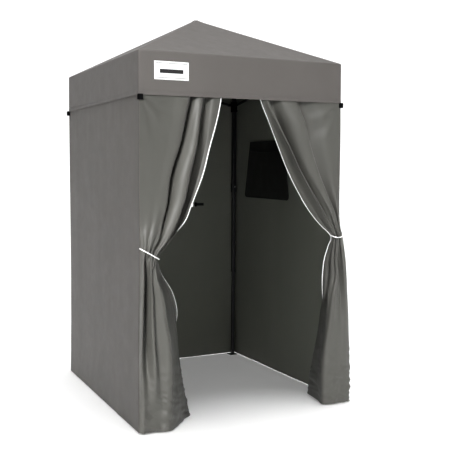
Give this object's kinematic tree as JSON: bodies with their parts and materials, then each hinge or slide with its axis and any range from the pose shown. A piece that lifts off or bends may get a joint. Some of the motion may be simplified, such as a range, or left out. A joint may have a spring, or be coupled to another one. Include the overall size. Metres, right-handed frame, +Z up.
{
  "type": "pop-up play tent",
  "caption": "Square pop-up tent on a folding frame of telescopic poles and scissor bars, with three fabric walls and two tied-back front curtains.",
  "frame": {"origin": "on the floor under the centre of the tent", "axes": "+Z up, the open door faces -Y"},
  "size_m": [1.2592, 1.2534, 2.2236],
  "materials": {
    "scissor_bar": "satin",
    "rafter": "satin",
    "leg_tube": "satin",
    "bracket": "matte",
    "canopy_fabric": "matte",
    "wall_fabric": "matte",
    "curtain_fabric": "satin",
    "tie_cord": "matte",
    "pocket_fabric": "matte",
    "peak_cap": "satin"
  },
  "bodies": {
    "canopy_hub": {"hub": "bracket", "canopy": "canopy_fabric", "peak_cap": "peak_cap"},
    "rafter_inner_front_left": {"rafter_inner_front_left": "rafter"},
    "rafter_outer_front_left": {"rafter_outer_front_left": "rafter"},
    "leg_front_left": {"top_bracket_front_left": "bracket", "leg_outer_front_left": "leg_tube", "wall_left": "wall_fabric", "curtain_left": "curtain_fabric", "tieback_left": "tie_cord"},
    "bar_x_upper_front_left": {"bar_x_upper_front_left": "scissor_bar"},
    "bar_x_lower_front_left": {"bar_x_lower_front_left": "scissor_bar"},
    "bar_y_upper_front_left": {"bar_y_upper_front_left": "scissor_bar"},
    "bar_y_lower_front_left": {"bar_y_lower_front_left": "scissor_bar"},
    "slider_front_left": {"slider_front_left": "bracket"},
    "leg_middle_front_left": {"leg_middle_front_left": "leg_tube"},
    "leg_foot_front_left": {"leg_foot_front_left": "leg_tube"},
    "leg_button_front_left": {"leg_button_front_left": "bracket"},
    "rafter_inner_front_right": {"rafter_inner_front_right": "rafter"},
    "rafter_outer_front_right": {"rafter_outer_front_right": "rafter"},
    "leg_front_right": {"top_bracket_front_right": "bracket", "leg_outer_front_right": "leg_tube", "curtain_right": "curtain_fabric", "tieback_right": "tie_cord"},
    "bar_x_upper_front_right": {"bar_x_upper_front_right": "scissor_bar"},
    "bar_x_lower_front_right": {"bar_x_lower_front_right": "scissor_bar"},
    "bar_y_upper_front_right": {"bar_y_upper_front_right": "scissor_bar"},
    "bar_y_lower_front_right": {"bar_y_lower_front_right": "scissor_bar"},
    "slider_front_right": {"slider_front_right": "bracket"},
    "leg_middle_front_right": {"leg_middle_front_right": "leg_tube"},
    "leg_foot_front_right": {"leg_foot_front_right": "leg_tube"},
    "leg_button_front_right": {"leg_button_front_right": "bracket"},
    "rafter_inner_back_left": {"rafter_inner_back_left": "rafter"},
    "rafter_outer_back_left": {"rafter_outer_back_left": "rafter"},
    "leg_back_left": {"top_bracket_back_left": "bracket", "leg_outer_back_left": "leg_tube", "wall_back": "wall_fabric"},
    "bar_x_upper_back_left": {"bar_x_upper_back_left": "scissor_bar"},
    "bar_x_lower_back_left": {"bar_x_lower_back_left": "scissor_bar"},
    "bar_y_upper_back_left": {"bar_y_upper_back_left": "scissor_bar"},
    "bar_y_lower_back_left": {"bar_y_lower_back_left": "scissor_bar"},
    "slider_back_left": {"slider_back_left": "bracket"},
    "leg_middle_back_left": {"leg_middle_back_left": "leg_tube"},
    "leg_foot_back_left": {"leg_foot_back_left": "leg_tube"},
    "leg_button_back_left": {"leg_button_back_left": "bracket"},
    "rafter_inner_back_right": {"rafter_inner_back_right": "rafter"},
    "rafter_outer_back_right": {"rafter_outer_back_right": "rafter"},
    "leg_back_right": {"top_bracket_back_right": "bracket", "leg_outer_back_right": "leg_tube", "wall_right": "wall_fabric", "wall_pocket": "pocket_fabric"},
    "bar_x_upper_back_right": {"bar_x_upper_back_right": "scissor_bar"},
    "bar_x_lower_back_right": {"bar_x_lower_back_right": "scissor_bar"},
    "bar_y_upper_back_right": {"bar_y_upper_back_right": "scissor_bar"},
    "bar_y_lower_back_right": {"bar_y_lower_back_right": "scissor_bar"},
    "slider_back_right": {"slider_back_right": "bracket"},
    "leg_middle_back_right": {"leg_middle_back_right": "leg_tube"},
    "leg_foot_back_right": {"leg_foot_back_right": "leg_tube"},
    "leg_button_back_right": {"leg_button_back_right": "bracket"}
  },
  "joints": [
    {"name": "frame_fold", "type": "hinge", "parent": "canopy_hub", "child": "rafter_inner_front_left", "pos_m": [-0.02121, -0.02121, 2.15], "axis": [0.7071, -0.7071, 0], "range_deg": [0, 63.12], "deforming": ["canopy", "wall_back", "wall_left", "wall_right", "curtain_left", "curtain_right", "tieback_left", "tieback_right", "wall_pocket"]},
    {"name": "rafter_knee_front_left", "type": "hinge", "parent": "rafter_inner_front_left", "child": "rafter_outer_front_left", "pos_m": [-0.28072, -0.28072, 1.9745], "axis": [0.7071, -0.7071, 0], "range_deg": [-159.36, 0]},
    {"name": "rafter_leg_front_left", "type": "hinge", "parent": "rafter_outer_front_left", "child": "leg_front_left", "pos_m": [-0.56254, -0.56254, 1.893], "axis": [0.7071, -0.7071, 0], "range_deg": [0, 96.24]},
    {"name": "bar_x_top_front_left", "type": "hinge", "parent": "leg_front_left", "child": "bar_x_upper_front_left", "pos_m": [-0.544, -0.588, 1.895], "axis": [0, 1, 0], "range_deg": [0, 75.29]},
    {"name": "bar_x_cross_front_left", "type": "hinge", "parent": "bar_x_upper_front_left", "child": "bar_x_lower_front_left", "pos_m": [-0.272, -0.588, 1.84213], "axis": [0, 1, 0], "range_deg": [-150.56, 0]},
    {"name": "bar_y_top_front_left", "type": "hinge", "parent": "leg_front_left", "child": "bar_y_upper_front_left", "pos_m": [-0.588, -0.544, 1.895], "axis": [-1, 0, 0], "range_deg": [0, 75.29]},
    {"name": "bar_y_cross_front_left", "type": "hinge", "parent": "bar_y_upper_front_left", "child": "bar_y_lower_front_left", "pos_m": [-0.588, -0.272, 1.84213], "axis": [-1, 0, 0], "range_deg": [-150.56, 0]},
    {"name": "slider_front_left_pin", "type": "hinge", "parent": "bar_x_lower_front_left", "child": "slider_front_left", "pos_m": [-0.544, -0.588, 1.78926], "axis": [0, 1, 0], "range_deg": [0, 75.29]},
    {"name": "middle_slide_front_left", "type": "slide", "parent": "leg_front_left", "child": "leg_middle_front_left", "axis": [0, 0, 1], "range_m": [0, 0.55]},
    {"name": "foot_slide_front_left", "type": "slide", "parent": "leg_middle_front_left", "child": "leg_foot_front_left", "axis": [0, 0, 1], "range_m": [0, 0.515]},
    {"name": "button_press_front_left", "type": "slide", "parent": "leg_front_left", "child": "leg_button_front_left", "axis": [0, -1, 0], "range_m": [0, 0.0025], "stiffness_N_per_m": 600, "springref_m": -0.002},
    {"name": "rafter_hub_front_right", "type": "hinge", "parent": "canopy_hub", "child": "rafter_inner_front_right", "pos_m": [0.02121, -0.02121, 2.15], "axis": [0.7071, 0.7071, 0], "range_deg": [0, 63.13]},
    {"name": "rafter_knee_front_right", "type": "hinge", "parent": "rafter_inner_front_right", "child": "rafter_outer_front_right", "pos_m": [0.28072, -0.28072, 1.9745], "axis": [0.7071, 0.7071, 0], "range_deg": [-159.36, 0]},
    {"name": "rafter_leg_front_right", "type": "hinge", "parent": "rafter_outer_front_right", "child": "leg_front_right", "pos_m": [0.56254, -0.56254, 1.893], "axis": [0.7071, 0.7071, 0], "range_deg": [0, 96.24]},
    {"name": "bar_x_top_front_right", "type": "hinge", "parent": "leg_front_right", "child": "bar_x_upper_front_right", "pos_m": [0.588, -0.544, 1.895], "axis": [-1, 0, 0], "range_deg": [0, 75.29]},
    {"name": "bar_x_cross_front_right", "type": "hinge", "parent": "bar_x_upper_front_right", "child": "bar_x_lower_front_right", "pos_m": [0.588, -0.272, 1.84213], "axis": [-1, 0, 0], "range_deg": [-150.56, 0]},
    {"name": "bar_y_top_front_right", "type": "hinge", "parent": "leg_front_right", "child": "bar_y_upper_front_right", "pos_m": [0.544, -0.588, 1.895], "axis": [0, -1, 0], "range_deg": [0, 75.29]},
    {"name": "bar_y_cross_front_right", "type": "hinge", "parent": "bar_y_upper_front_right", "child": "bar_y_lower_front_right", "pos_m": [0.272, -0.588, 1.84213], "axis": [0, -1, 0], "range_deg": [-150.56, 0]},
    {"name": "slider_front_right_pin", "type": "hinge", "parent": "bar_x_lower_front_right", "child": "slider_front_right", "pos_m": [0.588, -0.544, 1.78926], "axis": [-1, 0, 0], "range_deg": [0, 75.29]},
    {"name": "middle_slide_front_right", "type": "slide", "parent": "leg_front_right", "child": "leg_middle_front_right", "axis": [0, 0, 1], "range_m": [0, 0.55]},
    {"name": "foot_slide_front_right", "type": "slide", "parent": "leg_middle_front_right", "child": "leg_foot_front_right", "axis": [0, 0, 1], "range_m": [0, 0.515]},
    {"name": "button_press_front_right", "type": "slide", "parent": "leg_front_right", "child": "leg_button_front_right", "axis": [1, 0, 0], "range_m": [0, 0.0025], "stiffness_N_per_m": 600, "springref_m": -0.002},
    {"name": "rafter_hub_back_left", "type": "hinge", "parent": "canopy_hub", "child": "rafter_inner_back_left", "pos_m": [-0.02121, 0.02121, 2.15], "axis": [-0.7071, -0.7071, 0], "range_deg": [0, 63.13]},
    {"name": "rafter_knee_back_left", "type": "hinge", "parent": "rafter_inner_back_left", "child": "rafter_outer_back_left", "pos_m": [-0.28072, 0.28072, 1.9745], "axis": [-0.7071, -0.7071, 0], "range_deg": [-159.36, 0]},
    {"name": "rafter_leg_back_left", "type": "hinge", "parent": "rafter_outer_back_left", "child": "leg_back_left", "pos_m": [-0.56254, 0.56254, 1.893], "axis": [-0.7071, -0.7071, 0], "range_deg": [0, 96.24]},
    {"name": "bar_x_top_back_left", "type": "hinge", "parent": "leg_back_left", "child": "bar_x_upper_back_left", "pos_m": [-0.588, 0.544, 1.895], "axis": [1, 0, 0], "range_deg": [0, 75.29]},
    {"name": "bar_x_cross_back_left", "type": "hinge", "parent": "bar_x_upper_back_left", "child": "bar_x_lower_back_left", "pos_m": [-0.588, 0.272, 1.84213], "axis": [1, 0, 0], "range_deg": [-150.56, 0]},
    {"name": "bar_y_top_back_left", "type": "hinge", "parent": "leg_back_left", "child": "bar_y_upper_back_left", "pos_m": [-0.544, 0.588, 1.895], "axis": [0, 1, 0], "range_deg": [0, 75.29]},
    {"name": "bar_y_cross_back_left", "type": "hinge", "parent": "bar_y_upper_back_left", "child": "bar_y_lower_back_left", "pos_m": [-0.272, 0.588, 1.84213], "axis": [0, 1, 0], "range_deg": [-150.56, 0]},
    {"name": "slider_back_left_pin", "type": "hinge", "parent": "bar_x_lower_back_left", "child": "slider_back_left", "pos_m": [-0.588, 0.544, 1.78926], "axis": [1, 0, 0], "range_deg": [0, 75.29]},
    {"name": "middle_slide_back_left", "type": "slide", "parent": "leg_back_left", "child": "leg_middle_back_left", "axis": [0, 0, 1], "range_m": [0, 0.55]},
    {"name": "foot_slide_back_left", "type": "slide", "parent": "leg_middle_back_left", "child": "leg_foot_back_left", "axis": [0, 0, 1], "range_m": [0, 0.515]},
    {"name": "button_press_back_left", "type": "slide", "parent": "leg_back_left", "child": "leg_button_back_left", "axis": [-1, 0, 0], "range_m": [0, 0.0025], "stiffness_N_per_m": 600, "springref_m": -0.002},
    {"name": "rafter_hub_back_right", "type": "hinge", "parent": "canopy_hub", "child": "rafter_inner_back_right", "pos_m": [0.02121, 0.02121, 2.15], "axis": [-0.7071, 0.7071, 0], "range_deg": [0, 63.13]},
    {"name": "rafter_knee_back_right", "type": "hinge", "parent": "rafter_inner_back_right", "child": "rafter_outer_back_right", "pos_m": [0.28072, 0.28072, 1.9745], "axis": [-0.7071, 0.7071, 0], "range_deg": [-159.36, 0]},
    {"name": "rafter_leg_back_right", "type": "hinge", "parent": "rafter_outer_back_right", "child": "leg_back_right", "pos_m": [0.56254, 0.56254, 1.893], "axis": [-0.7071, 0.7071, 0], "range_deg": [0, 96.24]},
    {"name": "bar_x_top_back_right", "type": "hinge", "parent": "leg_back_right", "child": "bar_x_upper_back_right", "pos_m": [0.544, 0.588, 1.895], "axis": [0, -1, 0], "range_deg": [0, 75.29]},
    {"name": "bar_x_cross_back_right", "type": "hinge", "parent": "bar_x_upper_back_right", "child": "bar_x_lower_back_right", "pos_m": [0.272, 0.588, 1.84213], "axis": [0, -1, 0], "range_deg": [-150.56, 0]},
    {"name": "bar_y_top_back_right", "type": "hinge", "parent": "leg_back_right", "child": "bar_y_upper_back_right", "pos_m": [0.588, 0.544, 1.895], "axis": [1, 0, 0], "range_deg": [0, 75.29]},
    {"name": "bar_y_cross_back_right", "type": "hinge", "parent": "bar_y_upper_back_right", "child": "bar_y_lower_back_right", "pos_m": [0.588, 0.272, 1.84213], "axis": [1, 0, 0], "range_deg": [-150.56, 0]},
    {"name": "slider_back_right_pin", "type": "hinge", "parent": "bar_x_lower_back_right", "child": "slider_back_right", "pos_m": [0.544, 0.588, 1.78926], "axis": [0, -1, 0], "range_deg": [0, 75.29]},
    {"name": "middle_slide_back_right", "type": "slide", "parent": "leg_back_right", "child": "leg_middle_back_right", "axis": [0, 0, 1], "range_m": [0, 0.55]},
    {"name": "foot_slide_back_right", "type": "slide", "parent": "leg_middle_back_right", "child": "leg_foot_back_right", "axis": [0, 0, 1], "range_m": [0, 0.515]},
    {"name": "button_press_back_right", "type": "slide", "parent": "leg_back_right", "child": "leg_button_back_right", "axis": [0, 1, 0], "range_m": [0, 0.0025], "stiffness_N_per_m": 600, "springref_m": -0.002}
  ],
  "couplings": [
    {"joint": "rafter_knee_front_left", "follows": "frame_fold", "ratio": -2.5246},
    {"joint": "rafter_leg_front_left", "follows": "frame_fold", "ratio": 1.5246},
    {"joint": "bar_x_top_front_left", "follows": "frame_fold", "ratio": 1.1926},
    {"joint": "bar_x_cross_front_left", "follows": "frame_fold", "ratio": -2.3852},
    {"joint": "bar_y_top_front_left", "follows": "frame_fold", "ratio": 1.1926},
    {"joint": "bar_y_cross_front_left", "follows": "frame_fold", "ratio": -2.3852},
    {"joint": "slider_front_left_pin", "follows": "frame_fold", "ratio": 1.1926},
    {"joint": "rafter_hub_front_right", "follows": "frame_fold", "ratio": 1},
    {"joint": "rafter_knee_front_right", "follows": "frame_fold", "ratio": -2.5246},
    {"joint": "rafter_leg_front_right", "follows": "frame_fold", "ratio": 1.5246},
    {"joint": "bar_x_top_front_right", "follows": "frame_fold", "ratio": 1.1926},
    {"joint": "bar_x_cross_front_right", "follows": "frame_fold", "ratio": -2.3852},
    {"joint": "bar_y_top_front_right", "follows": "frame_fold", "ratio": 1.1926},
    {"joint": "bar_y_cross_front_right", "follows": "frame_fold", "ratio": -2.3852},
    {"joint": "slider_front_right_pin", "follows": "frame_fold", "ratio": 1.1926},
    {"joint": "rafter_hub_back_left", "follows": "frame_fold", "ratio": 1},
    {"joint": "rafter_knee_back_left", "follows": "frame_fold", "ratio": -2.5246},
    {"joint": "rafter_leg_back_left", "follows": "frame_fold", "ratio": 1.5246},
    {"joint": "bar_x_top_back_left", "follows": "frame_fold", "ratio": 1.1926},
    {"joint": "bar_x_cross_back_left", "follows": "frame_fold", "ratio": -2.3852},
    {"joint": "bar_y_top_back_left", "follows": "frame_fold", "ratio": 1.1926},
    {"joint": "bar_y_cross_back_left", "follows": "frame_fold", "ratio": -2.3852},
    {"joint": "slider_back_left_pin", "follows": "frame_fold", "ratio": 1.1926},
    {"joint": "rafter_hub_back_right", "follows": "frame_fold", "ratio": 1},
    {"joint": "rafter_knee_back_right", "follows": "frame_fold", "ratio": -2.5246},
    {"joint": "rafter_leg_back_right", "follows": "frame_fold", "ratio": 1.5246},
    {"joint": "bar_x_top_back_right", "follows": "frame_fold", "ratio": 1.1926},
    {"joint": "bar_x_cross_back_right", "follows": "frame_fold", "ratio": -2.3852},
    {"joint": "bar_y_top_back_right", "follows": "frame_fold", "ratio": 1.1926},
    {"joint": "bar_y_cross_back_right", "follows": "frame_fold", "ratio": -2.3852},
    {"joint": "slider_back_right_pin", "follows": "frame_fold", "ratio": 1.1926}
  ]
}
